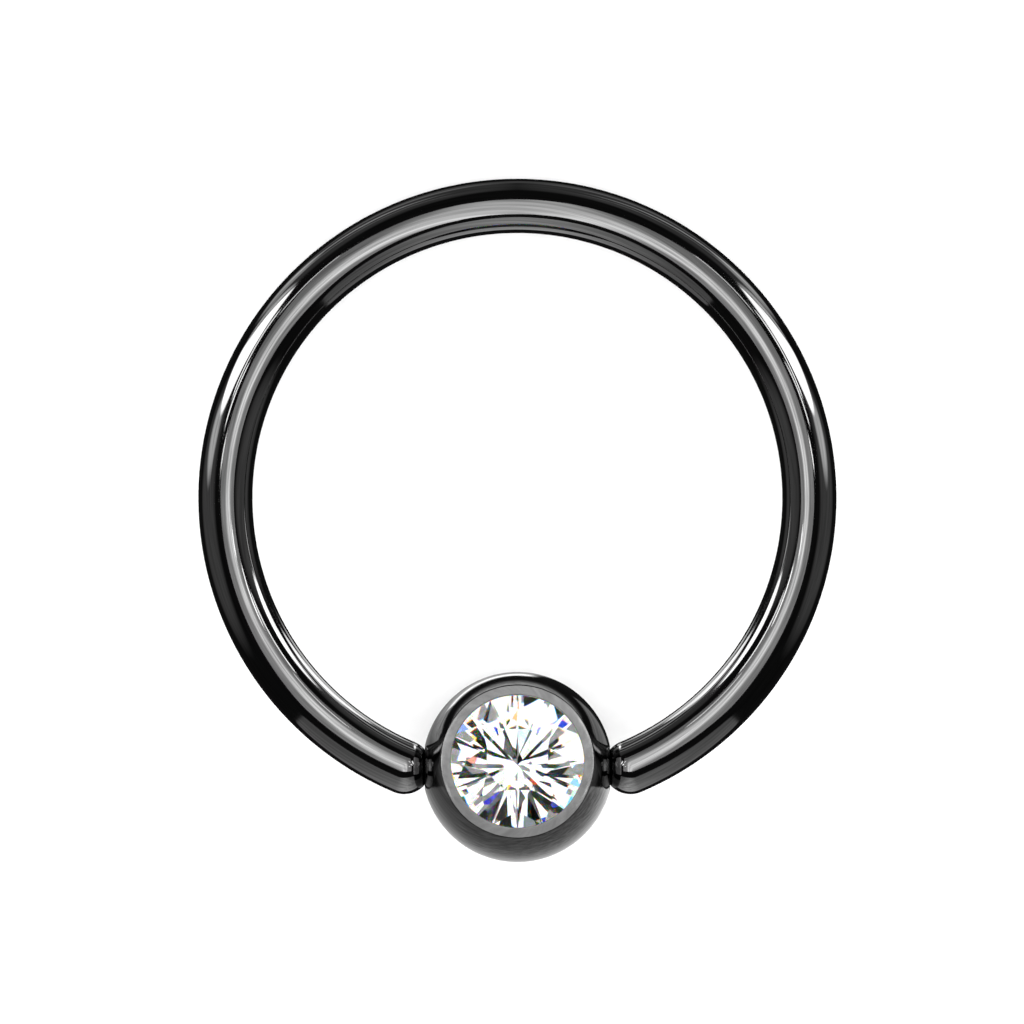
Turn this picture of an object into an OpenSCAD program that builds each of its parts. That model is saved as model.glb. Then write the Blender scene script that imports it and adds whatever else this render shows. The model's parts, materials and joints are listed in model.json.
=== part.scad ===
// Captive bead ring: an open wire hoop whose two rounded ends sit in dimples of a ball,
// and a round faceted crystal held in the ball by a turned-in rim.
// It lies on its side as it would on a table: the ball and the far side of the hoop touch z = 0.

/* [Wire hoop] */
// Diameter of the wire, 16 gauge
wire_d = 1.2; // [0.8:0.1:2]
// Inside diameter of the hoop
hoop_inner_d = 11.7; // [8:0.1:16]

/* [Ball] */
// Diameter of the ball
bead_d = 4.2; // [4:0.1:6]
// How far each wire end reaches into the ball
seat_depth = 0.2; // [0.1:0.05:0.4]
// Running gap between a wire end and its dimple
seat_clearance = 0.03; // [0.02:0.01:0.1]
// Lean of the stone's axis from the hoop's axis, towards the hoop's far side, in degrees
stone_lean = 7.5; // [-30:0.5:30]

/* [Setting] */
// Width of the burnished rim round the stone, seen along the stone's axis
rim_w = 0.23; // [0.1:0.01:0.25]
// How much the rim rises from its outer to its inner edge
rim_rise = 0.03; // [0:0.01:0.06]
// Angle by which the rim's slope changes across its slight dome, in degrees
rim_dome = 16; // [4:1:30]
// Thickness of the rim's lip at its inner edge
lip_t = 0.07; // [0.04:0.01:0.12]
// How far the lip reaches over the stone's widest circle
lip_cover = 0.07; // [0.05:0.01:0.1]
// Gap between the stone and the metal all round
stone_clearance = 0.025; // [0.02:0.005:0.05]
// Free depth under the stone's point
pit_room = 0.1; // [0.05:0.01:0.3]

/* [Stone] */
// Diameter of the stone at its girdle
stone_d = 3.06; // [2:0.02:3.2]
// Width of the eight-sided table, flat to flat
table_w = 1.34; // [1:0.02:1.6]
// Thickness of the girdle
girdle_h = 0.06; // [0.02:0.01:0.12]
// Slope of the crown's main facets, in degrees
crown_angle = 33; // [25:1:40]
// Slope of the pavilion's main facets, in degrees
pavilion_angle = 42; // [38:0.5:46]
// Where the star facets end, as a percentage of the way from table to girdle
star_reach = 52; // [40:1:65]
// Where the lower facets end, as a percentage of the way from girdle to point
lower_reach = 90; // [60:1:92]

/* [Hidden] */

$fn = 120;
metal = [0.17, 0.17, 0.18];
crystal = [0.9, 0.94, 0.97, 0.85];

wire_r = wire_d / 2;
bead_r = bead_d / 2;
stone_r = stone_d / 2;

// The wire's centreline is a circle. The centres of its two round ends lie on the ball's
// dimple axis, which runs along X through the ball's centre.
hoop_r = (hoop_inner_d + wire_d) / 2;
tip_x = bead_r + wire_r - seat_depth;
gap_half_angle = asin(tip_x / hoop_r);
bead_to_hoop = hoop_r * cos(gap_half_angle);

// Lying on its side, the ball holds one side of the hoop up, which tilts the hoop about X.
reach = bead_to_hoop + hoop_r;
hoop_tilt = asin((bead_r - wire_r) / reach);
bead_y = (bead_r - wire_r - reach * cos(hoop_tilt)) / 2;

// Heights along the stone's axis, measured from the ball's centre. The rim's outer edge lies
// on the ball, and everything in the setting hangs from it.
facet_turn = 360 / 16;
window_r = stone_r - lip_cover;
rim_r = window_r + rim_w;
rim_z = sqrt(bead_r * bead_r - rim_r * rim_r);
lip_top_z = rim_z + rim_rise;
lip_under_z = lip_top_z - lip_t;

// The stone's outline. Each main facet is one plane, so the height of a star point or of a
// lower facet's point follows from its radius.
table_r = table_w / 2 / cos(facet_turn);
star_r = table_w / 2 + star_reach / 100 * (stone_r - table_w / 2);
crown_h = (stone_r - table_r) * tan(crown_angle);
star_drop = (star_r * cos(facet_turn) - table_r) * tan(crown_angle);
upper_slope = (crown_h - star_drop) / (stone_r - star_r);
pavilion_h = stone_r * tan(pavilion_angle);
lower_r = (1 - lower_reach / 100) * stone_r;

lower_h = lower_r * cos(facet_turn) * tan(pavilion_angle);
lower_slope = (pavilion_h - lower_h) / (stone_r - lower_r);

// Upright gaps that keep the stone's clearance from the sloping metal above and below it.
lip_gap = stone_clearance * sqrt(1 + upper_slope * upper_slope);
seat_gap = stone_clearance * sqrt(1 + lower_slope * lower_slope);
girdle_top_z = lip_under_z - lip_gap - lip_cover * upper_slope;
girdle_low_z = girdle_top_z - girdle_h;
table_z = girdle_top_z + crown_h;
star_z = table_z - star_drop;
point_z = girdle_low_z - pavilion_h;
lower_z = point_z + lower_h;

// Puts what is drawn round the ball's centre, with the hoop's axis up, where it lies at rest.
module at_rest() {
    translate([0, bead_y, bead_r]) rotate([-hoop_tilt, 0, 0]) children();
}

// Turns what is drawn along Z to the stone's axis.
module on_stone_axis() {
    rotate([-stone_lean, 0, 0]) children();
}

// Half a ball that closes the wire's end face: side = -1 ahead of the face, 1 behind it.
module round_end(side) {
    intersection() {
        sphere(r = wire_r);
        translate([-wire_d, side < 0 ? -2 * wire_d : 0, -wire_d]) cube(2 * wire_d);
    }
}

// The wire runs round from one side of the ball to the other.
module hoop() {
    turn = 360 - 2 * gap_half_angle;
    color(metal) at_rest() translate([0, bead_to_hoop, 0]) rotate([0, 0, gap_half_angle - 90]) {
        rotate_extrude(angle = turn) translate([hoop_r, 0]) circle(r = wire_r);
        translate([hoop_r, 0, 0]) round_end(-1);
        rotate([0, 0, turn]) translate([hoop_r, 0, 0]) round_end(1);
    }
}

// Points of the rim's dome from its inner to its outer edge: an arc through both edges.
function rim_arc(steps) = let(
        chord = sqrt(rim_w * rim_w + rim_rise * rim_rise),
        slope = atan(rim_rise / rim_w),
        r = chord / 2 / sin(rim_dome / 2),
        sink = r * cos(rim_dome / 2),
        mid = [window_r + rim_w / 2, rim_z + rim_rise / 2]
    ) [for (i = [0 : steps]) let(a = slope - rim_dome * (0.5 - i / steps))
        [mid[0] + r * sin(a) - sink * sin(slope), mid[1] + r * cos(a) - sink * cos(slope)]];

// What is cut out of the ball for the setting, as half a section: the pit, the cone that the
// stone sits on, the ring round its girdle, the underside of the lip, and all above the rim.
module setting_cut() {
    wall_r = stone_r + stone_clearance;
    clear_r = bead_r + 1;
    rotate_extrude() polygon(concat(
        [[0, point_z - pit_room],
         [lower_r, lower_z - seat_gap],
         [wall_r, girdle_low_z - seat_gap + stone_clearance * lower_slope],
         [wall_r, girdle_top_z + lip_gap - stone_clearance * upper_slope],
         [window_r, lip_under_z]],
        rim_arc(6),
        [[clear_r, rim_z], [clear_r, clear_r], [0, clear_r]]));
}

module bead() {
    color(metal) at_rest() difference() {
        sphere(r = bead_r);
        on_stone_axis() setting_cut();
        for (side = [-1, 1]) translate([side * tip_x, 0, 0]) sphere(r = wire_r + seat_clearance);
    }
}

// n points on a circle of radius r at height z, the first at the angle start.
function ring(n, r, z, start) =
    [for (i = [0 : n - 1]) [r * cos(start + 360 * i / n), r * sin(start + 360 * i / n), z]];

// Round brilliant cut: table, 8 stars, 8 kites and 16 upper facets above the girdle,
// 16 lower facets and 8 mains below it, which end in a point.
module stone() {
    points = concat(
        ring(8, table_r, table_z, facet_turn),
        ring(8, star_r, star_z, 0),
        ring(16, stone_r, girdle_top_z, 0),
        ring(16, stone_r, girdle_low_z, 0),
        ring(8, lower_r, lower_z, 0),
        [[0, 0, point_z]]);
    tip = len(points) - 1;
    function corner(k) = (k + 8) % 8;
    function star(k) = 8 + (k + 8) % 8;
    function upper(j) = 16 + (j + 16) % 16;
    function under(j) = 32 + (j + 16) % 16;
    function lower(k) = 48 + (k + 8) % 8;
    faces = concat(
        [[for (k = [7 : -1 : 0]) corner(k)]],
        [for (k = [0 : 7]) [corner(k - 1), corner(k), star(k)]],
        [for (k = [0 : 7]) [corner(k), star(k + 1), upper(2 * k + 1), star(k)]],
        [for (k = [0 : 7]) [star(k), upper(2 * k + 1), upper(2 * k)]],
        [for (k = [0 : 7]) [star(k), upper(2 * k), upper(2 * k - 1)]],
        [for (j = [0 : 15]) [upper(j), upper(j + 1), under(j + 1), under(j)]],
        [for (k = [0 : 7]) [under(2 * k), under(2 * k + 1), lower(k)]],
        [for (k = [0 : 7]) [under(2 * k - 1), under(2 * k), lower(k)]],
        [for (k = [0 : 7]) [under(2 * k + 1), lower(k + 1), tip, lower(k)]]);
    color(crystal) at_rest() on_stone_axis() polyhedron(points, faces);
}

hoop();
bead();
stone();
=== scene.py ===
# %% [markdown]
# # A captive bead ring, cell by cell
# A captive bead ring is one length of round wire bent to an open hoop, and a ball that the springy
# hoop holds between its two rounded ends. This one is surgical steel with a black coating, and its
# ball carries a round cut crystal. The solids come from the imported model, and this lesson gives
# them their looks. Everything is in metres, in the model's own frame: the ring lies on z = 0.

# %% Load the frame
import json
import math
import bpy
import numpy as np
from mathutils import Matrix


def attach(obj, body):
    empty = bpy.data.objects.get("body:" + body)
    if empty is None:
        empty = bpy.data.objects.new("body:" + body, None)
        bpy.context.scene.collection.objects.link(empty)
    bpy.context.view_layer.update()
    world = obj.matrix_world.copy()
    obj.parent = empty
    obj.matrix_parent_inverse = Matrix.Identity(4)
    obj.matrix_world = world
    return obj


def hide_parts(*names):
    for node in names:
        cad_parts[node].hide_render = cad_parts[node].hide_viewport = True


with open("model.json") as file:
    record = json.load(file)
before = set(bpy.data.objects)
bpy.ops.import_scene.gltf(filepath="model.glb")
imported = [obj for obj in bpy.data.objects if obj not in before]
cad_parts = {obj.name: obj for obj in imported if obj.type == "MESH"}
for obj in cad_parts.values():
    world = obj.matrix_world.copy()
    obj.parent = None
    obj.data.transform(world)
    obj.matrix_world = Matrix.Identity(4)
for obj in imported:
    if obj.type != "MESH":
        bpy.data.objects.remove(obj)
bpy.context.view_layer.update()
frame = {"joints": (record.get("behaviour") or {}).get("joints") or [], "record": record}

# %% [markdown]
# ## Sizes of the hoop and the ball
# A jeweller would give these sizes: the wire's gauge, the hoop's inside diameter, the ball, and how
# deep its dimples take the wire's ends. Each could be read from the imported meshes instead, but
# named sizes can be checked against the real thing, and the curves made from them are exact.

# %% Driving sizes
MM = 0.001
wire_r = 0.6 * MM
hoop_r = (11.7 * MM) / 2 + wire_r
bead_r = 2.1 * MM
seat_depth = 0.2 * MM
seat_clearance = 0.03 * MM
stone_lean = math.radians(7.5)

tip_x = bead_r + wire_r - seat_depth
gap_angle = math.asin(tip_x / hoop_r)
print("the hoop is open by", round(2 * math.degrees(gap_angle), 1), "degrees")

# %% [markdown]
# ## The hoop's own axes
# The ring lies on its side, a little tilted by the ball. The frame says where the ball's centre is,
# because the joint turns about it, and where the far side of the wire is, because the piercing
# slides there. The line between these two points is the hoop's own Y, so no angle is measured.

# %% Axes from the frame
ball_centre = np.array(frame["joints"][0]["pos_m"])
far_side = np.array(frame["record"]["mounts"][0]["pos_m"])

axis_x = np.array([1.0, 0.0, 0.0])
axis_y = (far_side - ball_centre) / np.linalg.norm(far_side - ball_centre)
axis_z = np.cross(axis_x, axis_y)
hoop_centre = ball_centre + hoop_r * math.cos(gap_angle) * axis_y
print("hoop's axis leans", round(math.degrees(math.acos(axis_z[2])), 2), "degrees from upright")

# %% [markdown]
# ## Faces between rings of points
# The wire and the ball are both closed skins. Each can be cut into rings of points, with one point
# at either end, like the lines of latitude on a globe. Blender could spin or sweep them, but a
# grid worked out with numpy gives exact curves, even faces and closed poles, and the same few
# lines then make both meshes.

# %% Rings to faces
def faces_of_rings(rings, sides):
    """Quads between neighbouring rings, point k of one ring joined to point k + 1 of the next, and
    a fan of triangles from each pole. The poles are the last two points of the mesh."""
    k = np.arange(sides)
    after = (k + 1) % sides
    row = np.arange(rings - 1)[:, None] * sides
    quads = np.stack([row + k, row + after, row + sides + after, row + sides + k], axis=-1)
    first_pole, last_pole = rings * sides, rings * sides + 1
    start_fan = np.stack([np.full(sides, first_pole), after, k], axis=-1)
    end_row = (rings - 1) * sides
    end_fan = np.stack([np.full(sides, last_pole), end_row + k, end_row + after], axis=-1)
    return quads.reshape(-1, 4).tolist() + start_fan.tolist() + end_fan.tolist()


print("three rings of four points, with two poles, have", len(faces_of_rings(3, 4)), "faces")

# %% [markdown]
# ## A mesh and its volume
# A piece's object stays at the origin, unturned, and its place is in its mesh, as with the packed
# solids. The volume is a quick test of a new skin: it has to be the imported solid's, and it comes
# out too small, or negative, if faces point inwards.

# %% Points and faces to a piece
def signed_volume(mesh):
    """Each triangle and the origin span a tetrahedron. Their volumes add up to the solid's, which
    comes out negative if the faces point inwards."""
    mesh.calc_loop_triangles()
    corners = np.empty(len(mesh.loop_triangles) * 3, np.int32)
    mesh.loop_triangles.foreach_get("vertices", corners)
    places = np.empty(len(mesh.vertices) * 3)
    mesh.vertices.foreach_get("co", places)
    a, b, c = places.reshape(-1, 3)[corners.reshape(-1, 3)].transpose(1, 0, 2)
    return float(np.einsum("ij,ij->i", a, np.cross(b, c)).sum() / 6)


def add_piece(name, points, faces, smooth):
    """Puts points and faces into a mesh object at the origin, with its place in its mesh."""
    mesh = bpy.data.meshes.new(name)
    mesh.from_pydata(points.tolist(), [], faces)
    mesh.polygons.foreach_set("use_smooth", np.full(len(mesh.polygons), smooth))
    mesh.update()
    piece = bpy.data.objects.new(name, mesh)
    bpy.context.scene.collection.objects.link(piece)
    volume = signed_volume(mesh) / MM**3
    print(name, len(mesh.loop_triangles), "triangles,", round(volume, 3), "cubic mm")
    return piece

# %% [markdown]
# ## The wire hoop
# The hoop is drawn wire, cut, bent round a mandrel, with both ends ground to half balls. It could
# be a curve with a bevel, but a bevel ends in a flat cap. Here a circle is carried along the hoop,
# and at each end it shrinks as a half ball does, so that wire and ends are one smooth skin.

# %% Sweep the wire
def wire_points(steps, cap_steps, sides):
    """Along the wire, a goes round the hoop from one side of the gap to the other, and b rises
    from -90 to 0 degrees over the first half ball and from 0 to 90 over the last. A ring's centre
    is moved wire_r sin b along the wire and its radius is wire_r cos b."""
    turn = np.linspace(gap_angle, 2 * math.pi - gap_angle, steps)
    rise = np.linspace(-math.pi / 2, 0, cap_steps + 1)[:-1]
    a = np.concatenate([np.full(cap_steps, turn[0]), turn, np.full(cap_steps, turn[-1])])
    b = np.concatenate([rise, np.zeros(steps), -rise[::-1]])
    outward = np.outer(np.sin(a), axis_x) - np.outer(np.cos(a), axis_y)
    forward = np.outer(np.cos(a), axis_x) + np.outer(np.sin(a), axis_y)
    centres = hoop_centre + hoop_r * outward + wire_r * np.sin(b)[:, None] * forward
    around = np.linspace(0, 2 * math.pi, sides, endpoint=False)
    section = np.cos(around)[:, None] * outward[:, None, :] - np.sin(around)[:, None] * axis_z
    rings = centres[:, None, :] + wire_r * np.cos(b)[:, None, None] * section
    return rings[1:-1], centres[0], centres[-1]


rings, start_pole, end_pole = wire_points(steps=720, cap_steps=24, sides=96)
hoop = add_piece(
    "wire_hoop",
    np.vstack([rings.reshape(-1, 3), start_pole, end_pole]),
    faces_of_rings(*rings.shape[:2]),
    smooth=True,
)

# %% [markdown]
# ## Sizes of the setting
# The stone lies in a pocket bored in the ball. The edge of the bore is pressed over it as a thin
# lip, whose face is the lighter rim round the stone. The rim stands a hair higher at the stone
# than at the ball and is slightly domed, because the burnisher that presses it rolls over it.

# %% Rim, lip and pocket
rim_w = 0.23 * MM
rim_rise = 0.03 * MM
rim_dome = math.radians(16)
lip_t = 0.07 * MM
lip_cover = 0.07 * MM
stone_clearance = 0.025 * MM
pit_room = 0.1 * MM

stone_r = 1.53 * MM
window_r = stone_r - lip_cover
rim_r = window_r + rim_w
rim_z = math.sqrt(bead_r**2 - rim_r**2)
lip_under_z = rim_z + rim_rise - lip_t
print("the lip leaves a window of", round(2 * window_r / MM, 2), "mm")

# %% [markdown]
# ## Sizes of the stone
# A cutter describes a round brilliant by its table's width, by the slopes of its crown and its
# pavilion, and by how far the star facets and the lower facets reach. A flat facet fixes the rest:
# where two facets meet, both have the same height, so each height follows from a slope.

# %% Slopes and heights of the facets
folds = 8
half_fold = math.pi / folds
table_w = 1.34 * MM
girdle_h = 0.06 * MM
crown_slope = math.tan(math.radians(33))
main_slope = math.tan(math.radians(42))
star_reach = 0.52
lower_reach = 0.90

table_r = table_w / 2 / math.cos(half_fold)
star_r = table_w / 2 + star_reach * (stone_r - table_w / 2)
crown_h = (stone_r - table_r) * crown_slope
star_drop = (star_r * math.cos(half_fold) - table_r) * crown_slope
upper_slope = (crown_h - star_drop) / (stone_r - star_r)
pavilion_h = stone_r * main_slope
lower_r = (1 - lower_reach) * stone_r
lower_h = lower_r * math.cos(half_fold) * main_slope
lower_slope = (pavilion_h - lower_h) / (stone_r - lower_r)
print("the stone is", round((crown_h + girdle_h + pavilion_h) / MM, 2), "mm deep")

# %% [markdown]
# ## Where the stone sits
# The lip is pressed down until it all but touches the stone, so the stone's height follows from
# the lip's underside. A clearance is measured square to a surface. Straight down it is longer, by
# the root of one plus the slope squared.

# %% Heights in the ball
lip_gap = stone_clearance * math.hypot(1, upper_slope)
seat_gap = stone_clearance * math.hypot(1, lower_slope)
girdle_top_z = lip_under_z - lip_gap - lip_cover * upper_slope
girdle_low_z = girdle_top_z - girdle_h
table_z = girdle_top_z + crown_h
point_z = girdle_low_z - pavilion_h
print("table stands", round((table_z - rim_z) / MM, 3), "mm above the rim's outer edge")

# %% [markdown]
# ## Lines with eased corners
# The ball is turned and bored, and all of that is round about the stone's axis. So one section,
# turned once round, gives the whole ball with its setting. Steel has no perfectly sharp edge: each
# corner of the section is eased, which catches a thin line of light. A Bevel modifier would do
# that after the mesh is made, but small Bezier curves in the section keep the rows of faces even.

# %% Stretches and corners
def stretch(line, cut_start, cut_end, count):
    """Points at even steps along a line of points, without its first cut_start and its last
    cut_end metres."""
    reach = np.concatenate([[0], np.cumsum(np.linalg.norm(np.diff(line, axis=0), axis=1))])
    at = np.linspace(cut_start, reach[-1] - cut_end, count)
    return np.stack([np.interp(at, reach, line[:, 0]), np.interp(at, reach, line[:, 1])], axis=1)


def eased(before, corner, after, count):
    """A quadratic Bezier curve from before to after that is drawn towards corner."""
    t = np.linspace(0, 1, count + 2)[1:-1, None]
    return (1 - t) ** 2 * before + 2 * t * (1 - t) * corner + t**2 * after


def eased_line(parts, corner_count):
    """Joins the parts' lines end to end. The corner after a part is a curve of corner_count
    points, which starts and ends that part's ease, in mm, from the corner."""
    lines, counts, eases = zip(*parts)
    cuts = [0.0, *(ease * MM for ease in eases)]
    runs = [stretch(line, cuts[i], cuts[i + 1], counts[i]) for i, line in enumerate(lines)]
    joined = [runs[0]]
    for line, run, run_before in zip(lines[1:], runs[1:], runs):
        joined += [eased(run_before[-1], line[0], run[0], corner_count), run]
    return np.vstack(joined)


square_corner = eased(np.array([1, 0]), np.zeros(2), np.array([0, 1]), 3)
print("three points that ease a square corner:", square_corner.round(2).tolist())

# %% [markdown]
# ## The rim's dome
# A flat rim would mirror one spot of the room and look like paper. A burnished one is slightly
# domed, so its grey changes from edge to edge. An arc of a circle is the plainest such line: its
# chord joins the rim's two edges, and its slope changes by the dome's angle on the way.

# %% An arc from edge to edge
def rim_arc(count):
    """The circle through both edges of the rim has the radius half chord / sin(half rim_dome). Its
    centre lies under the middle of the chord, square to it."""
    chord = math.hypot(rim_w, rim_rise)
    slope = math.atan2(rim_rise, rim_w)
    arc_r = chord / 2 / math.sin(rim_dome / 2)
    centre_r = window_r + rim_w / 2 - arc_r * math.cos(rim_dome / 2) * math.sin(slope)
    centre_z = rim_z + rim_rise / 2 - arc_r * math.cos(rim_dome / 2) * math.cos(slope)
    lean = slope + rim_dome * np.linspace(0.5, -0.5, count)
    return np.stack([centre_r + arc_r * np.sin(lean), centre_z + arc_r * np.cos(lean)], axis=1)


rim = rim_arc(200)
arc_length = np.linalg.norm(np.diff(rim, axis=0), axis=1).sum()
print("across its dome the rim is", round(arc_length / MM, 3), "mm wide")

# %% [markdown]
# ## The ball's section
# The section starts at the ball's far pole, runs up the ball's skin to the rim, over the lip, and
# down the pocket to a small pit under the stone's point. Radius and height are measured from the
# ball's centre and along the stone's axis.

# %% From the far pole to the pit
down = np.linspace(math.pi, math.asin(rim_r / bead_r), 2000)
ball_arc = bead_r * np.stack([np.sin(down), np.cos(down)], axis=1)

wall_r = stone_r + stone_clearance
lip_top = rim[-1]
lip_under = np.array([window_r, lip_under_z])
wall_top = np.array([wall_r, girdle_top_z + lip_gap - stone_clearance * upper_slope])
wall_low = np.array([wall_r, girdle_low_z - seat_gap + stone_clearance * lower_slope])
seat_low = np.array([lower_r, point_z + lower_h - seat_gap])
pit = np.array([0, point_z - pit_room])

ball_count = 136
rim_count = 14
corner_count = 6
section = eased_line([
    # line, points along it, ease of the corner after it (in mm)
    (ball_arc, ball_count, 0.022),
    (rim, rim_count, 0.022),
    (np.array([lip_top, lip_under]), 4, 0.008),
    (np.array([lip_under, wall_top]), 5, 0.01),
    (np.array([wall_top, wall_low]), 4, 0.01),
    (np.array([wall_low, seat_low]), 14, 0.02),
    (np.array([seat_low, pit]), 6, 0.0),
], corner_count)
print("ball's section has", len(section), "points")

# %% [markdown]
# ## The dimples
# The wire's ends sit in two round dimples, ground where the ball is widest. Each is part of a
# sphere a little larger than the wire's end, with the same centre, so its edge on the ball is a
# circle. The law of cosines gives that circle's angle, seen from the ball's centre.

# %% Where the dimples lie
stone_axis = math.cos(stone_lean) * axis_z + math.sin(stone_lean) * axis_y
stone_up = np.cross(stone_axis, axis_x)
dimple_r = wire_r + seat_clearance
dimple_angle = math.acos((tip_x**2 + bead_r**2 - dimple_r**2) / (2 * tip_x * bead_r))
edge_ease = 0.012 * MM
print("each dimple is", round(2 * bead_r * math.sin(dimple_angle) / MM, 3), "mm across")

# %% [markdown]
# ## Room for a dimple in the grid
# A boolean would cut the dimples, but leaves slivers and a rough edge. Here the grid itself is
# bent: a square patch of it becomes a round one, so that one loop of edges runs exactly along the
# dimple's edge, and the points inside sink to the dimple's surface.

# %% Bend a square patch, sink a dimple
# Keeps a division from zero in the very middle of a patch
tiny = 1e-12


def rounded_patch(p, q):
    """p and q are places on a square patch, which reaches from -1 to 1. Each square ring of it is
    pulled onto the circle of the same half width, fully up to 1 and less and less up to 2."""
    half_width = np.maximum(np.abs(p), np.abs(q))
    distance = np.maximum(np.hypot(p, q), tiny)
    fade = np.clip(2 - half_width, 0, 1)
    pull = fade * fade * (3 - 2 * fade)
    share = 1 + pull * (half_width / distance - 1)
    return p * share, q * share


def dimpled(radius, towards):
    """towards is the part of a direction that points at the nearer dimple's middle. That direction
    meets the dimple's sphere at tip_x towards - sqrt(d), with d = (tip_x towards) squared - tip_x
    squared + dimple_r squared, if d is positive. The smaller of this and the ball's own radius
    counts, joined by a smooth minimum that eases the edge over edge_ease."""
    along = tip_x * towards
    depth = along**2 - (tip_x**2 - dimple_r**2)
    to_dimple = np.where(depth > 0, along - np.sqrt(np.maximum(depth, 0)), 2 * bead_r)
    half_gap = (radius - to_dimple) / 2
    eased_r = (radius + to_dimple) / 2 - np.sqrt(half_gap**2 + edge_ease**2)
    return np.where(depth > 0, np.minimum(eased_r, radius), radius)


middle_r = float(dimpled(bead_r, 1.0))
print("the ball's radius in the middle of a dimple:", round(middle_r / MM, 3), "mm")

# %% [markdown]
# ## The ball
# The section is turned round the stone's axis in even steps. Each point is then known by three
# numbers: the angle round the axis, the angle above the dimples' plane, and the distance from the
# ball's centre. On the ball's own skin, near a dimple, the first two bend and the third shrinks.

# %% Turn the section
# A point that is this near the ball's own radius, in metres, lies on its skin
hair = 1e-9
ball_sides = 384


def ball_points(section, sides):
    """A ring for each point of the section. Its direction is cos rise cos around along X, cos rise
    sin around along the stone's up, and sin rise along the stone's axis, times the radius."""
    around = np.linspace(0, 2 * math.pi, sides, endpoint=False) + np.zeros((len(section), 1))
    from_centre = np.linalg.norm(section, axis=1)[:, None]
    rise = np.arctan2(section[:, 1], section[:, 0])[:, None] + np.zeros((1, sides))
    on_skin = (np.abs(from_centre - bead_r) < hair) & (rise < 2 * dimple_angle)
    turn = np.where(np.cos(around) > 0, 0.0, math.pi)
    off = (around - turn + math.pi) % (2 * math.pi) - math.pi
    p, q = rounded_patch(off / dimple_angle, rise / dimple_angle)
    around = np.where(on_skin, turn + p * dimple_angle, around)
    rise = np.where(on_skin, q * dimple_angle, rise)
    part_x = np.cos(rise) * np.cos(around)
    part_up = np.cos(rise) * np.sin(around)
    radius = np.where(on_skin, dimpled(from_centre, np.abs(part_x)), from_centre)
    direction = (
        part_x[..., None] * axis_x
        + part_up[..., None] * stone_up
        + np.sin(rise)[..., None] * stone_axis
    )
    return ball_centre + radius[..., None] * direction


rings = ball_points(section[1:-1], ball_sides)
poles = ball_centre + np.outer(section[[0, -1], 1], stone_axis)
bead = add_piece(
    "set_ball",
    np.vstack([rings.reshape(-1, 3), poles]),
    faces_of_rings(*rings.shape[:2]),
    smooth=True,
)

# %% [markdown]
# ## The stone's corners
# The stone is a round brilliant: a table, 8 star facets, 8 kites and 16 upper facets on the crown,
# 16 lower facets and 8 mains under the girdle. Its corners lie on five circles and at one point.
# A blank could be cut with one plane for each of the 57 facets, as a cutter does, but where the
# corners lie is known, so nothing has to be cut.

# %% Circles of corners
def circle(count, radius, height, start):
    """count points on a circle about the stone's axis, the first at the angle start."""
    a = start + 2 * math.pi * np.arange(count) / count
    return (
        ball_centre
        + radius * np.outer(np.cos(a), axis_x)
        + radius * np.outer(np.sin(a), stone_up)
        + height * stone_axis
    )


circles = [
    # corners, radius, height, angle of the first
    (folds, table_r, table_z, half_fold),
    (folds, star_r, table_z - star_drop, 0.0),
    (2 * folds, stone_r, girdle_top_z, 0.0),
    (2 * folds, stone_r, girdle_low_z, 0.0),
    (folds, lower_r, point_z + lower_h, 0.0),
    (1, 0.0, point_z, 0.0),
]
corners = np.vstack([circle(*row) for row in circles])
firsts = np.cumsum([0] + [row[0] for row in circles])
corner, star, upper, under, lower, point = firsts[:-1]
print("the stone has", len(corners), "corners")

# %% [markdown]
# ## The stone's facets
# Facets are flat and meet in sharp edges, so each is one polygon, shaded flat. A row below says
# which corners a kind of facet joins, for all eight or sixteen at once: k counts the folds, and j
# the corners of the girdle. The corners run anticlockwise, seen from outside, because that is how
# Blender tells the front of a face.

# %% Facets from corners
k = np.arange(folds)
j = np.arange(2 * folds)
before = (k - 1) % folds
after = (k + 1) % folds
next_j = (j + 1) % (2 * folds)
side = 2 * k
side_before = (side - 1) % (2 * folds)
crown_sides = [
    # stars, kites, upper facets after and before each fold, and the girdle
    (star + k, corner + k, corner + before),
    (star + k, upper + side + 1, star + after, corner + k),
    (upper + side, upper + side + 1, star + k),
    (upper + side_before, upper + side, star + k),
    (under + j, under + next_j, upper + next_j, upper + j),
]
back_sides = [
    # lower facets after and before each fold, and mains
    (lower + k, under + side + 1, under + side),
    (lower + k, under + side, under + side_before),
    (lower + k, np.full(folds, point), lower + after, under + side + 1),
]
table_face = [(corner + k).tolist()]
crown_faces = [face for rows in crown_sides for face in np.stack(rows, axis=1).tolist()]
back_faces = [face for rows in back_sides for face in np.stack(rows, axis=1).tolist()]
stone = add_piece("cut_stone", corners, table_face + crown_faces + back_faces, smooth=False)

# %% [markdown]
# ## Colours and nodes
# Colours are written as hex values, as a picture editor shows them, and one function turns them to
# the linear values that light adds up in. One small function adds a node, sets it and links it.
# Most real surfaces change a little from place to place, in soft clouds. Noise gives them, if the
# middle of its range, which it seldom leaves, is spread over the values wanted.

# %% Helpers for materials
def linear(hex_colour):
    """The sRGB curve backwards: a straight line near black, a power of 2.4 above it."""
    s = np.array([int(hex_colour[i:i + 2], 16) for i in (1, 3, 5)]) / 255
    rgb = np.where(s <= 0.04045, s / 12.92, ((s + 0.055) / 1.055) ** 2.4)
    return (*rgb.tolist(), 1.0)


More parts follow.
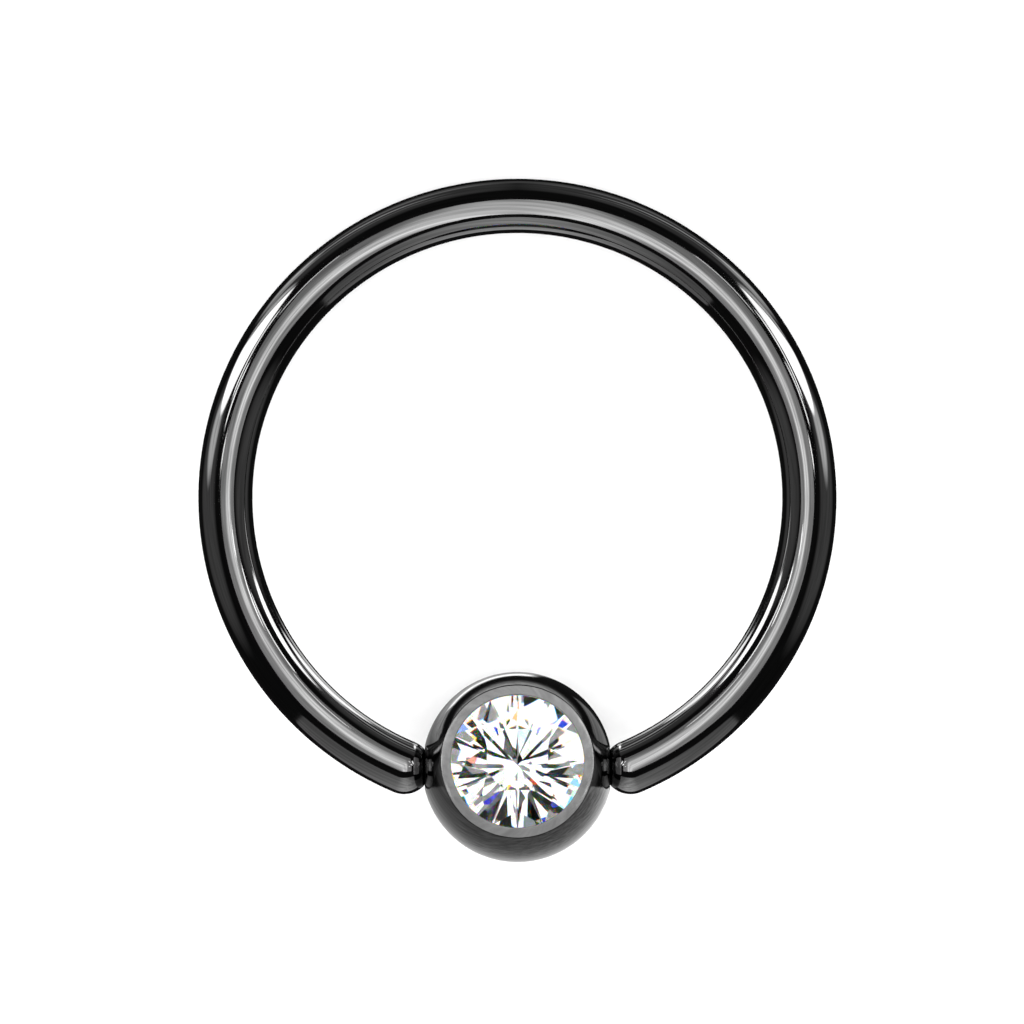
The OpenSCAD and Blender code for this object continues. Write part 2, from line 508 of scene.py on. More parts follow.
def add_node(tree, kind, inputs=None, **settings):
    """Adds a node. settings are its own choices. inputs gives its sockets, by name or number,
    either a value or another node's output to link."""
    node = tree.nodes.new(kind)
    for name, value in settings.items():
        setattr(node, name, value)
    for socket, value in (inputs or {}).items():
        if isinstance(value, bpy.types.NodeSocket):
            tree.links.new(value, node.inputs[socket])
        else:
            node.inputs[socket].default_value = value
    return node


def new_material(name):
    """An empty material and its tree of nodes."""
    material = bpy.data.materials.new(name)
    material.use_nodes = True
    material.node_tree.nodes.clear()
    return material, material.node_tree


def cloudy(tree, place, size, low, high):
    """A value that changes from low to high and back over clouds of about size metres. place is the
    socket that says where."""
    clouds = add_node(tree, "ShaderNodeTexNoise", {
        "Vector": place, "Scale": 1 / size, "Detail": 2.0})
    return add_node(tree, "ShaderNodeMapRange", {
        "Value": clouds.outputs["Fac"], "From Min": 0.3, "From Max": 0.7,
        "To Min": low, "To Max": high}).outputs["Result"]


print("a grey of #808080 sends back", round(linear("#808080")[0], 3), "of the light")

# %% [markdown]
# ## Marks that run round a piece
# Drawing, turning and buffing leave faint lines that run round the hoop, the ball and the rim. A
# picture of them would need the mesh unrolled. A noise pattern needs no unrolling if it is worked
# out from the distance to the piece's own axis, the height along it and the direction round it.

# %% Noise stretched round an axis
def marks_round(tree, centred, axis, radius, across_gap, around_gap):
    """Noise in a space of its own. X is the distance from the axis and Y the height along it, both
    divided by across_gap. The direction round the axis, times radius / around_gap, is added, which
    bends the pattern into a closed loop whose marks are around_gap apart. An axis here leans only
    about X, so one turn brings it upright."""
    lean = math.atan2(axis[1], axis[2])
    turned = add_node(tree, "ShaderNodeMapping", {
        "Vector": centred.outputs[0], "Rotation": (lean, 0, 0)})
    part = add_node(tree, "ShaderNodeSeparateXYZ", {0: turned.outputs[0]})
    flat = add_node(tree, "ShaderNodeVectorMath", {
        0: turned.outputs[0], 1: (1, 1, 0)}, operation="MULTIPLY")
    from_axis = add_node(tree, "ShaderNodeVectorMath", {0: flat.outputs[0]}, operation="LENGTH")
    across = add_node(tree, "ShaderNodeCombineXYZ", {
        "X": from_axis.outputs["Value"], "Y": part.outputs["Z"], "Z": 0.0})
    around = add_node(tree, "ShaderNodeVectorMath", {0: flat.outputs[0]}, operation="NORMALIZE")
    scaled = add_node(tree, "ShaderNodeVectorMath", {
        0: across.outputs[0], "Scale": 1 / across_gap}, operation="SCALE")
    looped = add_node(tree, "ShaderNodeVectorMath", {
        0: around.outputs[0], "Scale": radius / around_gap}, operation="SCALE")
    both = add_node(tree, "ShaderNodeVectorMath", {
        0: scaled.outputs[0], 1: looped.outputs[0]}, operation="ADD")
    return add_node(tree, "ShaderNodeTexNoise", {
        "Vector": both.outputs[0], "Scale": 1.0, "Detail": 4.0, "Roughness": 0.6})


sideways = float(abs(axis_z[0]) + abs(stone_axis[0]))
print("the hoop's and the stone's axis lean sideways by", round(sideways, 6))

# %% [markdown]
# ## Black coated steel
# The steel is drawn or turned, polished, and coated in a vacuum with a hard black film a few
# thousandths of a millimetre thick. The film is shiny but dark: it mirrors the room at about a
# sixth of its brightness, and at a glancing angle nearly all of it. That is a metal whose base
# colour is a dark grey. The marks vary its grey and its height. The polish also comes out a little
# duller here and there, in soft clouds about 0.9 mm wide, which vary the gloss.

# %% Black steel
cloud_size = 0.9 * MM


def black_steel(name, centre, axis, radius, across_gap, around_gap, depth, tones, gloss):
    """Steel with a black film. Its marks lie round the axis through centre, at about radius from
    it. They are across_gap apart away from the axis and along it, around_gap apart round it, and
    depth deep. tones are its darkest and lightest grey, gloss its least and most roughness."""
    material, tree = new_material(name)
    place = add_node(tree, "ShaderNodeTexCoord")
    centred = add_node(tree, "ShaderNodeVectorMath", {
        0: place.outputs["Object"], 1: (-centre).tolist()}, operation="ADD")
    marks = marks_round(tree, centred, axis, radius, across_gap, around_gap)
    tint = add_node(tree, "ShaderNodeMapRange", {
        "Value": marks.outputs["Fac"], "From Min": 0.35, "From Max": 0.65,
        "To Min": linear(tones[0])[0], "To Max": linear(tones[1])[0]})
    bump = add_node(tree, "ShaderNodeBump", {
        "Height": marks.outputs["Fac"], "Strength": 1.0, "Distance": depth})
    shader = add_node(tree, "ShaderNodeBsdfPrincipled", {
        "Base Color": tint.outputs["Result"], "Metallic": 1.0,
        "Roughness": cloudy(tree, centred.outputs[0], cloud_size, *gloss),
        "Normal": bump.outputs[0]})
    add_node(tree, "ShaderNodeOutputMaterial", {"Surface": shader.outputs[0]})
    return material


print("the gloss changes over clouds of", round(cloud_size / MM, 2), "mm")

# %% [markdown]
# ## Three finishes of the same steel
# The wire is pulled through a die and tumbled, which leaves it glossy with long fine lines along
# it. The ball is turned and buffed, with shorter marks and a little less gloss. The rim is rubbed
# down over the stone with a burnisher and stays satin, with soft clouds of grey instead of lines.
# The real marks are about 0.01 mm apart. Those would vanish in the picture, so they are drawn 5 to
# 30 times as coarse.

# %% Steel on the wire, the ball and the rim
steels = [
    # piece, name, centre, axis, radius, gaps across and around in mm, depth in mm, tones, gloss
    (hoop, "black_coated_drawn_steel", hoop_centre, axis_z, hoop_r,
     0.05, 1.4, 0.0003, ("#646464", "#7b7b7b"), (0.04, 0.08)),
    (bead, "black_coated_turned_steel", ball_centre, stone_axis, bead_r,
     0.06, 0.25, 0.0006, ("#5e5e5e", "#818181"), (0.06, 0.1)),
    (bead, "black_coated_burnished_rim", ball_centre, stone_axis, rim_r,
     0.3, 0.35, 0.0004, ("#686868", "#787878"), (0.14, 0.2)),
]
for piece, name, centre, axis, radius, across_gap, around_gap, depth, tones, gloss in steels:
    piece.data.materials.append(black_steel(
        name, centre, axis, radius, across_gap * MM, around_gap * MM, depth * MM, tones, gloss))
    print(name, "on", piece.name, "with marks of", across_gap, "by", around_gap, "mm")

# %% [markdown]
# ## The rim's faces
# The rim's finish begins in the middle of the corner before it and ends just past the middle of the
# next. The ball is built row by row, so a face's number tells its row, and the rows of the rim
# follow from the numbers of points in the section. The first ring is the section's second point.

# %% Give the rim its own finish
rim_start = ball_count + corner_count // 2 - 2
rim_row_count = rim_count + corner_count + 2
rim_rows = np.arange(len(bead.data.polygons)) // ball_sides - rim_start
is_rim = (rim_rows >= 0) & (rim_rows < rim_row_count)
bead.data.polygons.foreach_set("material_index", is_rim.astype(np.int32))
print("faces of the rim:", int(is_rim.sum()))

# %% [markdown]
# ## Cut crystal
# The stone is crystal glass, sawn, ground and polished to clear flat facets. It bends light more
# than window glass does, by 1.56 against 1.52, and blue more than red, which is where a stone's
# fire comes from. One glass shader bends all colours alike. Five of them, from red to blue light,
# each with a little more refraction, make clear glass in an even mix, and throw orange and blue at
# the edges of its facets. The third counts for a third where it joins the first two, the fourth
# for a quarter, and so on, so that all count alike in the end.

# %% Crystal
crystal, tree = new_material("lead_crystal_glass")
spectrum = [
    # red, green and blue light let through, as multiples of an even mix, and refraction
    (2.50, 0.25, 0.00, 1.544),
    (1.75, 1.25, 0.00, 1.552),
    (0.50, 2.25, 0.50, 1.560),
    (0.00, 1.00, 2.00, 1.568),
    (0.25, 0.25, 2.50, 1.576),
]
glasses = [
    add_node(tree, "ShaderNodeBsdfGlass", {
        "Color": (red, green, blue, 1.0), "IOR": ior, "Roughness": 0.0}).outputs[0]
    for red, green, blue, ior in spectrum
]
clear = glasses[0]
for count, glass in enumerate(glasses[1:], start=2):
    clear = add_node(tree, "ShaderNodeMixShader", {0: 1 / count, 1: clear, 2: glass}).outputs[0]
add_node(tree, "ShaderNodeOutputMaterial", {"Surface": clear})
print("red, green and blue light through the crystal:", np.mean(spectrum, axis=0)[:3].round(2))

# %% [markdown]
# ## Foil
# The facets below the girdle are silvered and lacquered, which makes them mirrors that send all
# light out of the front again. That is what makes a glass stone as bright as the photograph shows.
# The silver is laid on a little unevenly, in patches of about 0.3 mm, so a noise pattern varies its
# brightness by a few hundredths. The facets under it are polished, so there is no roughness.

# %% Silver foil
foil_patch = 0.3 * MM
foil, tree = new_material("silver_foil_backing")
place = add_node(tree, "ShaderNodeTexCoord").outputs["Object"]
silver = cloudy(tree, place, foil_patch, linear("#ececec")[0], linear("#fbfbfb")[0])
mirror = add_node(tree, "ShaderNodeBsdfPrincipled", {
    "Base Color": silver, "Metallic": 1.0, "Roughness": 0.0})
add_node(tree, "ShaderNodeOutputMaterial", {"Surface": mirror.outputs[0]})
print(foil.name, "varies in patches of", foil_patch / MM, "mm")

# %% Crystal in front, foil behind
stone.data.materials.append(crystal)
stone.data.materials.append(foil)
is_back = np.arange(len(stone.data.polygons)) >= len(table_face) + len(crown_faces)
stone.data.polygons.foreach_set("material_index", is_back.astype(np.int32))
print("foiled facets:", int(is_back.sum()))

# %% [markdown]
# ## Camera
# The photograph looks straight along the hoop's axis from a little distance: both outlines of the
# hoop are round, and the middle of the wire lies on one circle. Lying on its side the ring is
# tilted a little, so the camera looks steeply down and is tilted by as much. Its distance follows
# from the scale that the photograph has and from a long lens, which keeps the view nearly flat.

# %% Place the camera
picture_px = 1024
px_per_mm = 45.27
hoop_centre_px = (517.4, 497.9)
sensor_mm = 36.0
lens_mm = 300.0

half_picture = picture_px / 2
distance = (half_picture / px_per_mm * MM) * lens_mm / (sensor_mm / 2)
target = (
    hoop_centre
    + (half_picture - hoop_centre_px[0]) / px_per_mm * MM * axis_x
    - (half_picture - hoop_centre_px[1]) / px_per_mm * MM * axis_y
)
camera_data = bpy.data.cameras.new("camera")
camera_data.lens = lens_mm
camera_data.sensor_width = sensor_mm
camera_data.clip_start = 10 * MM
camera_data.clip_end = 20
camera = bpy.data.objects.new("camera", camera_data)
bpy.context.scene.collection.objects.link(camera)


def place_object(thing, axes, place):
    """The columns of an object's matrix are its own X, Y and Z and its place."""
    matrix = np.eye(4)
    matrix[:3, :3] = np.stack(axes, axis=1)
    matrix[:3, 3] = place
    thing.matrix_world = Matrix(matrix.tolist())


place_object(camera, (axis_x, axis_y, axis_z), target + distance * axis_z)
bpy.context.scene.camera = camera
print("camera is", round(distance / MM, 1), "mm from the hoop")

# %% [markdown]
# ## Floor
# The ring lies on a sheet of white card. It is one square, lit by an even sky, so that shadows are
# soft and lie only where the ring is near it. The card has a faint grain of about 0.5 mm. Metal and
# glass don't see it, because the studio below gives them walls of their own.

# %% White card
floor_size = 4.0
card_grain = 0.5 * MM
floor = add_piece(
    "floor",
    floor_size * np.array([[-0.5, -0.5, 0], [0.5, -0.5, 0], [0.5, 0.5, 0], [-0.5, 0.5, 0]]),
    [[0, 1, 2, 3]],
    smooth=False,
)
card, tree = new_material("matt_white_card")
place = add_node(tree, "ShaderNodeTexCoord").outputs["Object"]
grain = cloudy(tree, place, card_grain, linear("#f0f0f0")[0], linear("#f4f4f4")[0])
matt = add_node(tree, "ShaderNodeBsdfPrincipled", {
    "Base Color": grain, "Roughness": 0.9, "Specular IOR Level": 0.0})
add_node(tree, "ShaderNodeOutputMaterial", {"Surface": matt.outputs[0]})
floor.data.materials.append(card)
floor.visible_glossy = False
floor.visible_transmission = False

# %% [markdown]
# ## Formulas in nodes
# The walls and the lamps below are painted with formulas rather than pictures. Each step of a
# formula is a Math node, which is long to write and hard to read. Python lets a class say what
# plus, minus and times mean for it, so here they add the Math nodes, and a formula in nodes reads
# as any other formula.

# %% Arithmetic that adds nodes
class Amount:
    """A number that the nodes of a tree work out anew for each ray or each spot of a lamp."""

    def __init__(self, tree, socket):
        self.tree = tree
        self.socket = socket

    def step(self, operation, *others):
        """One step of arithmetic on this amount and other amounts or plain numbers."""
        values = [value.socket if isinstance(value, Amount) else value for value in others]
        inputs = dict(enumerate([self.socket, *values]))
        node = add_node(self.tree, "ShaderNodeMath", inputs, operation=operation)
        return Amount(self.tree, node.outputs[0])

    def __add__(self, other):
        return self.step("ADD", other)

    def __sub__(self, other):
        return self.step("SUBTRACT", other)

    def __mul__(self, other):
        return self.step("MULTIPLY", other)

    def __truediv__(self, other):
        return self.step("DIVIDE", other)

    def __pow__(self, other):
        return self.step("POWER", other)

    def __abs__(self):
        return self.step("ABSOLUTE")

    __radd__ = __add__

# %% [markdown]
# ## Soft edges, bells and ovals
# A soft box is a rectangle with soft edges, a tube is a bell across its width, and the mirror image
# of a round card is an oval. A few such shapes paint a whole studio, so each is a short function.

# %% Shapes of light
def fall(value, full, none):
    """1 where value is full, 0 where it is none, and a smooth change between the two."""
    share = add_node(value.tree, "ShaderNodeMapRange", {
        "Value": value.socket, "From Min": none, "From Max": full},
        interpolation_type="SMOOTHSTEP")
    return Amount(value.tree, share.outputs[0])


def mixed(share, low, high):
    """low where share is 0, high where it is 1."""
    return share * (high - low) + low


def bell(value, width):
    """The bell curve exp(-(value / width) squared)."""
    scaled = value / width
    return (scaled * scaled * -1.0).step("EXPONENT")


def oval(u, v, corners, edge):
    """1 where |u| ** corners + |v| ** corners is under 1 - edge, falling to 0 at 1. With corners 2
    this is an oval as wide and high as u and v reach from -1 to 1, and with 8 nearly a
    rectangle."""
    return fall(abs(u) ** corners + abs(v) ** corners, 1 - edge, 1.0)

# %% [markdown]
# ## Walls for the metal
# Polished metal shows little but its room. Seen along the hoop's axis, a point of the wire mirrors
# the direction at twice the slope of its skin, so each line of light in the photograph tells where
# a card stood: so many degrees round the axis, and so many degrees away from it. The studio is the
# same on the left and on the right, so the azimuth is folded over the middle.

# %% Directions in the room
world = bpy.data.worlds.new("studio")
bpy.context.scene.world = world
world.use_nodes = True
# Rays that bounce off the pieces find the walls by themselves, so no light is aimed from them
world.cycles.sampling_method = "NONE"
room = world.node_tree
room.nodes.clear()
ray = add_node(room, "ShaderNodeLightPath")
direction = add_node(room, "ShaderNodeTexCoord").outputs["Generated"]
in_degrees = 180 / math.pi


def along(vector):
    """How far the ray's direction goes along a vector."""
    part = add_node(room, "ShaderNodeVectorMath", {
        0: direction, 1: vector.tolist()}, operation="DOT_PRODUCT")
    return Amount(room, part.outputs["Value"])


from_axis = along(axis_z).step("ARCCOSINE") * in_degrees
folded = along(axis_y).step("ARCTAN2", abs(along(axis_x))) * in_degrees
print("the walls are painted round the direction", axis_z.round(3))

# %% [markdown]
# ## Patches of light on the walls
# The walls are nearly black, and each card on them is an oval patch of light. Metal in an empty
# white room would look grey all over. The dark between the cards is what makes it look polished.

# %% Cards on dark walls
def patch(azimuth, half_width, height, half_height, slant, corners, edge, brightness):
    """An oval of light, in degrees, at an azimuth and a height away from the hoop's axis. Its
    middle goes slant degrees further away for each degree past its azimuth."""
    off = folded - azimuth
    middle = off * slant + height
    up = (from_axis - middle) / half_height
    return oval(off / half_width, up, corners, edge) * brightness


both_sides = [
    # azimuth, half width, from axis, half height, slant, corners, edge, brightness
    (-2, 30, 80, 40, 0, 3, 0.9, 0.2),
    (29, 9.5, 43, 2.1, 0.1, 6, 0.3, 6.0),
    (20.5, 6.5, 34.5, 2.1, -0.25, 6, 0.3, 6.0),
    (46, 8, 34, 1.8, 0, 6, 0.3, 3.0),
    (9, 3.2, 22.5, 2.0, -0.4, 6, 0.3, 6.0),
    (64, 30, 92, 30, 0, 4, 0.9, 0.14),
    (60, 22, 86, 2.6, -0.35, 2, 0.8, 0.4),
    (56, 24, 101, 4, -0.4, 2, 0.8, 1.1),
    (43, 10, 102, 16, -0.3, 2, 0.9, 1.2),
    (66, 24, 115, 5, -0.2, 2, 0.8, 0.3),
    (90, 36, 121, 9, 0, 4, 0.8, 0.2),
]
dark_wall = 0.018
wall_light = sum([patch(*row) for row in both_sides], dark_wall)
print("patches of light on the walls:", 2 * len(both_sides))

# %% [markdown]
# ## What the stone sees
# Each facet of a cut stone picks another small piece of the room, so a stone looks lively where
# white and dark meet in straight edges, and dull in an even room. Rays that come through the stone
# get a room of their own for that: a Voronoi pattern over the direction cuts it into flat cards,
# most of them white and some grey or black.

# %% Cards round the stone
# Where the pattern is cut, and which way round, chosen for a lively stone
card_place, card_mirror = (27.1, 46.07, -27.1), (-1, 1, 1)
card_scale = 2.6
black_share, grey_share = 0.14, 0.12
black_light, grey_light, white_light = 0.02, 0.42, 1.62

moved = add_node(room, "ShaderNodeMapping", {
    "Vector": direction, "Location": card_place, "Scale": card_mirror})
cards = add_node(room, "ShaderNodeTexVoronoi", {"Vector": moved.outputs[0], "Scale": card_scale})
colour = add_node(room, "ShaderNodeSeparateColor", {0: cards.outputs["Color"]})
lot = Amount(room, colour.outputs[0])
is_lit = lot.step("GREATER_THAN", black_share)
is_white = lot.step("GREATER_THAN", black_share + grey_share)
card_light = is_white * (white_light - grey_light) + mixed(is_lit, black_light, grey_light)
print("share of white cards:", round(1 - black_share - grey_share, 2))

# %% [markdown]
# ## The lens in the stone
# A well cut stone sends back the light that falls straight in, so its middle mirrors the lens
# that looks at it, as dark spokes. A dark disc in the stone's room stands for the lens. It is
# painted in one direction of the room, two degrees beside the hoop's axis.

# %% A dark disc for the lens
lens_off = math.radians(2)
lens_full, lens_none = 5, 7
lens_keeps = 0.1
lens_side = axis_z + math.tan(lens_off) * axis_x
off_lens = along(lens_side / np.linalg.norm(lens_side)).step("ARCCOSINE") * in_degrees
stone_light = card_light * mixed(fall(off_lens, lens_full, lens_none), 1.0, lens_keeps)
print("the disc is", 2 * lens_full, "degrees wide, and its soft edge", lens_none - lens_full)

# %% [markdown]
# ## Who sees which room
# A photographer lights the metal, the stone and the paper apart, with cards and several exposures.
# Here the Light Path node does it: it tells where a ray comes from. Rays from metal see the painted
# walls, rays out of the stone see the cards, rays from the matt paper see an even sky, and the
# camera sees a plain white backdrop.

# %% Split the room by the kind of ray
white = linear("#ffffff")
sky_light = 2.1
backdrop_light = 0.98
seen = add_node(room, "ShaderNodeBackground", {"Color": white, "Strength": wall_light.socket})
for kind, strength in (
    ("Is Transmission Ray", stone_light.socket),
    ("Is Diffuse Ray", sky_light),
    ("Is Camera Ray", backdrop_light),
):
    background = add_node(room, "ShaderNodeBackground", {"Color": white, "Strength": strength})
    seen = add_node(room, "ShaderNodeMixShader", {
        0: ray.outputs[kind], 1: seen.outputs[0], 2: background.outputs[0]})
add_node(room, "ShaderNodeOutputWorld", {"Surface": seen.outputs[0]})
print("the room has", len(room.nodes), "nodes")

# %% [markdown]
# ## Lamps near the ring
# Walls are far away, and look the same from all of the ring. A soft box near the ring doesn't: its
# mirror image changes along the wire, and that is what makes the photograph's highlights taper. So
# the large boxes are area lights, each with a pattern of brightness painted on it. They shine only
# on one piece by light linking, as a photographer shields a lamp with flags, and the camera, the
# card and the stone don't see them.

# %% A soft box for one piece
def lamp(name, piece, place, side, up, width, height, radiance, share):
    """A rectangular lamp that lights one piece, width along side and height along up. It shines
    against the cross product of side and up. radiance is what a perfect mirror shows of it, and
    share works out from the places across and up it, in metres, how much of that it gives
    there."""
    data = bpy.data.lights.new(name, "AREA")
    data.shape = "RECTANGLE"
    data.size, data.size_y = width, height
    data.energy = radiance * math.pi * width * height
    data.use_nodes = True
    tree = data.node_tree
    tree.nodes.clear()
    spot = add_node(tree, "ShaderNodeNewGeometry")
    part = add_node(tree, "ShaderNodeSeparateXYZ", {0: spot.outputs["Parametric"]})
    across = (Amount(tree, part.outputs["X"]) - 0.5) * width
    above = (Amount(tree, part.outputs["Y"]) - 0.5) * height
    glow = add_node(tree, "ShaderNodeEmission", {"Strength": share(across, above).socket})
    add_node(tree, "ShaderNodeOutputLight", {"Surface": glow.outputs[0]})
    box = bpy.data.objects.new(name, data)
    bpy.context.scene.collection.objects.link(box)
    place_object(box, (side, up, np.cross(side, up)), place)
    box.visible_camera = False
    box.visible_diffuse = False
    box.visible_transmission = False
    receivers = bpy.data.collections.new("lit_by_" + name)
    receivers.objects.link(piece)
    box.light_linking.receiver_collection = receivers
    print(name, "lights", piece.name, "with", round(width / MM, 1), "by", round(height / MM, 1), "mm")

# %% [markdown]
# ## The box over the hoop
# The broad light band along the top of the wire is the mirror image of a soft box between the ring
# and the camera. It is brighter towards the ball, and has two bright lines in it where the tubes
# behind its cloth are.

# %% Overhead box
box_up, box_back = 30 * MM, 2.5 * MM
tube_off, tube_w = 2.2 * MM, 2.6 * MM
tube_fade, tube_light = (-3 * MM, 6 * MM), (0.9, 2.7)
panel_fade, panel_light = (2 * MM, 9 * MM), (0.7, 1.0)
spot_back, spot_w, spot_h = 9 * MM, 2 * MM, 5 * MM


def overhead_share(across, above):
    """Two bright tubes side by side behind an even panel. Both fade towards the far end, where a
    soft spot lies in the middle."""
    tubes = bell(abs(across) - tube_off, tube_w) * mixed(fall(above, *tube_fade), *tube_light)
    panel = mixed(fall(above, *panel_fade), *panel_light)
    spot = bell(across, spot_w) * bell(above - spot_back, spot_h)
    return tubes + panel + spot


lamp("overhead_box", hoop, hoop_centre + box_up * axis_z + box_back * axis_y, axis_x, axis_y,
     width=32 * MM, height=36 * MM, radiance=1.0, share=overhead_share)

# %% [markdown]
# ## The box over the rim
# The rim round the stone is a nearly flat face that looks up at the camera, so it mirrors what is
# right above it, and its satin finish blurs that. A wide even box makes it grey all round, a
# little lighter where it leans back towards the hoop's middle.

# %% Rim box
rim_box_up, rim_box_back = 30 * MM, 8 * MM
rim_fade, rim_light = (2 * MM, -8 * MM), (1.35, 1.9)


def rim_share(across, above):
    """An even panel, brighter beyond the middle."""
    return mixed(fall(above, *rim_fade), *rim_light)


lamp("rim_box", bead, ball_centre + rim_box_up * axis_z + rim_box_back * axis_y, axis_x, axis_y,
     width=50 * MM, height=60 * MM, radiance=1.0, share=rim_share)

# %% [markdown]
# ## The panel in front
# The inner side of the hoop, across from the ball, mirrors what stands in front of the ring, past
# the ball. An upright panel with sharp edges there gives the grey band that ends in a dark line.

# %% Front panel
front_off, front_rise = 60 * MM, 6 * MM
front_w, front_h = 120 * MM, 96 * MM
middle_w, middle_light = 24 * MM, (0.3, 1.0)
low_fade, low_light = (-26 * MM, 34 * MM), (1.0, 1.3)
front_corners, front_edge = 12, 0.3


def front_share(across, above):
    """Brightest in the middle and a little brighter low down, with sharp edges."""
    middle = mixed(bell(across, middle_w), *middle_light)
    low = mixed(fall(above, *low_fade), *low_light)
    u = across / (front_w / 2)
    v = above / (front_h / 2)
    return middle * low * oval(u, v, front_corners, front_edge)


lamp("front_panel", hoop, hoop_centre - front_off * axis_y + front_rise * axis_z, axis_x, axis_z,
     width=front_w, height=front_h, radiance=1.05, share=front_share)

# %% [markdown]
# ## The card below the ball
# The lower half of the ball, as the photograph shows it, is a soft grey that grows lighter towards
# its edge. That is a card which stands in front of the ball and reaches far down, so it is painted
# lighter where the ball looks down on it more steeply. It goes on below the floor, which metal
# doesn't see.

# %% Low card
card_off, card_drop = 12 * MM, 75 * MM
steep_fade, steep_light = (1.4, 0.0), (0.28, 0.78)
right_gain = 0.012 / MM


def low_card_share(across, above):
    """The slope at which the ball looks down on a spot is its drop below the ball over its distance
    along the ground, which is the root of across squared plus card_off squared. The card is
    brighter where that is steep, and brighter towards the right by right_gain for each metre."""
    along_ground = (across * across + card_off**2).step("SQRT")
    steep = (above * -1.0 + card_drop) / along_ground
    return mixed(fall(steep, *steep_fade), *steep_light) * (across * right_gain + 1.0)


lamp("low_card", bead, ball_centre - card_off * axis_y - card_drop * axis_z, axis_x, axis_z,
     width=90 * MM, height=160 * MM, radiance=1.0, share=low_card_share)

# %% [markdown]
# ## The table top behind the ball
# The upper half of the ball mirrors a table behind it: a light far part along the ball's edge, a
# dark strip inside it, and inside that a grey sheet on either side. Mirror images on a ball are
# small and bent, but on the table they are plain bands, so that is where they are painted.

# %% Table top
table_drop, table_back = 20 * MM, 30 * MM
far_fade, far_light = (1.8, 1.08), 1.1
sheets_fade = (0.66, 0.74)
left_fade, left_y_fade, left_light = (0.06, 0.14), (0.42, 0.2), (0.3, 0.72)
right_fade, right_light = (0.62, 0.54), 0.42
roll_x, roll_fade = -0.3, (0.36, 0.46)
roll_y, roll_w, roll_light = 0.61, 0.08, 3.0


def table_share(across, above):
    """x and y are places on the table top to the right of the ball and behind it, as multiples of
    the table's drop. Beyond y = 1.1 the table brightens with the distance, between 0.7 and 1.1
    lies a dark strip, and nearer than that a grey sheet on either side, the left one with a
    bright rolled edge."""
    x = across / -table_drop
    y = (above + table_back) / table_drop
    far = fall(y, *far_fade) * far_light
    left = fall(x, *left_fade) * mixed(fall(y, *left_y_fade), *left_light)
    right = fall(x, *right_fade) * right_light
    sheets = (left + right) * fall(y, *sheets_fade)
    roll = bell(y - roll_y, roll_w) * fall(abs(x - roll_x), *roll_fade)
    return far + sheets + roll * roll_light


lamp("table_top", bead, ball_centre + table_back * axis_y - table_drop * axis_z, -axis_x, axis_y,
     width=64 * MM, height=60 * MM, radiance=1.0, share=table_share)

# %% [markdown]
# ## Wings on either side
# Small lamps close to the wire give the streaks on its flanks, which taper because the wire curves
# away from them. The wing and the sheen stand outside the hoop and light its outer side. The low
# wing and the edge wing stand inside it and light the inner side of the wire opposite. A row says
# where a lamp stands, and the left ones are mirror images of the right ones.

# %% Shape of a wing
line_place, line_slope, line_w = 0.9, 1.1, 0.13
beyond_fade, beyond_loss = (-0.2, -0.05), 0.75


def wing_share(half_w, half_h, tilt, edge, dark_line):
    """For a wing of these half sizes. half_w is negative on the left, which mirrors the wing."""
    def share(across, above):
        """An oval, tilted by tilt half heights over its half width, whose edge is soft over the
        share edge. If dark_line is 1, a thin dark line crosses its lower far end, where v =
        line_slope u - line_place, and it is dimmer beyond the line."""
        u = across / half_w
        v = above / half_h - u * tilt
        past = v - u * line_slope + line_place
        off_line = mixed(bell(past, line_w), 1.0, 1 - dark_line)
        this_side = mixed(fall(past, *beyond_fade), 1.0, 1 - beyond_loss * dark_line)
        return oval(u, v, 2, edge) * off_line * this_side
    return share


print("a dark line passes", line_place, "half heights below the middle of its wing")

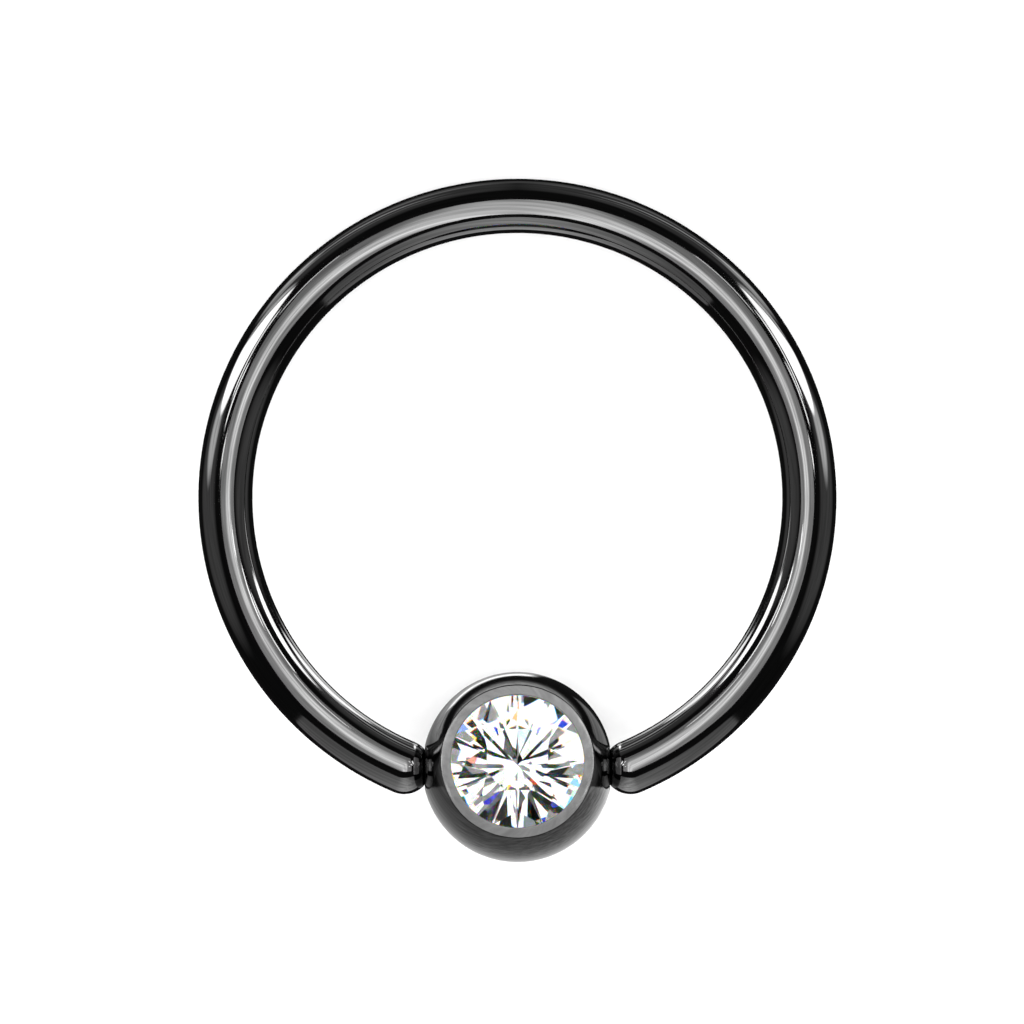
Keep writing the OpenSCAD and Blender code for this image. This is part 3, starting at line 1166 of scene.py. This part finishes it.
# %% Wings, right and left
wings = [
    # name, azimuth, from axis, up, half width, half height, tilt, edge, dark line, radiance (in mm)
    ("wing", 30, 15.7, 3.9, 4.2, 4.7, 0.0, 0.3, 1, 7.0),
    ("low_wing", 43.5, 2.0, -3.4, 0.52, 1.9, -0.5, 0.3, 0, 5.0),
    ("edge_wing", 48, 2.0, -8.6, 0.85, 4.0, 0.0, 0.6, 0, 1.9),
    ("sheen", 12, 8.6, 0.9, 1.7, 0.8, 0.0, 0.9, 0, 1.9),
]
for hand, name in ((1, "right"), (-1, "left")):
    for part, azimuth, out, rise, half_w, half_h, tilt, edge, dark_line, radiance in wings:
        a = math.radians(azimuth)
        outward = hand * math.cos(a) * axis_x + math.sin(a) * axis_y
        lamp(name + "_" + part, hoop, hoop_centre + out * MM * outward + rise * MM * axis_z,
             np.cross(axis_z, outward), axis_z, 2 * half_w * MM, 2 * half_h * MM, radiance,
             wing_share(hand * half_w * MM, half_h * MM, tilt, edge, dark_line))

# %% [markdown]
# ## Light paths and picture
# Light bounces many times inside a cut stone before it leaves, so it is given more bounces than
# Blender's own choice. Light that metal and glass would throw back on the floor is left out: it
# is faint here and only adds grain. No bright glint is clipped, and the picture's tones stay as
# worked out, so black stays black.

# %% Bounces and tones
scene = bpy.context.scene
scene.cycles.max_bounces = 24
scene.cycles.glossy_bounces = 16
scene.cycles.transmission_bounces = 16
scene.cycles.caustics_reflective = False
scene.cycles.caustics_refractive = False
scene.cycles.sample_clamp_indirect = 0.0
scene.view_settings.view_transform = "Standard"
print("light may bounce", scene.cycles.max_bounces, "times")

# %% [markdown]
# ## Riding on the bodies
# Each new piece stands for its solid, whose imported mesh is hidden, and moves with its
# body. The ball carries its stone.

# %% Hand over the pieces
for piece, body, node, slot in (
    (hoop, "hoop", "hoop", "black_steel"),
    (bead, "bead", "bead", "black_steel"),
    (stone, "bead", "stone", "crystal"),
):
    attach(piece, body)
    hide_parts(node)
    print(piece.name, "rides on", body, "and has the finish", slot)
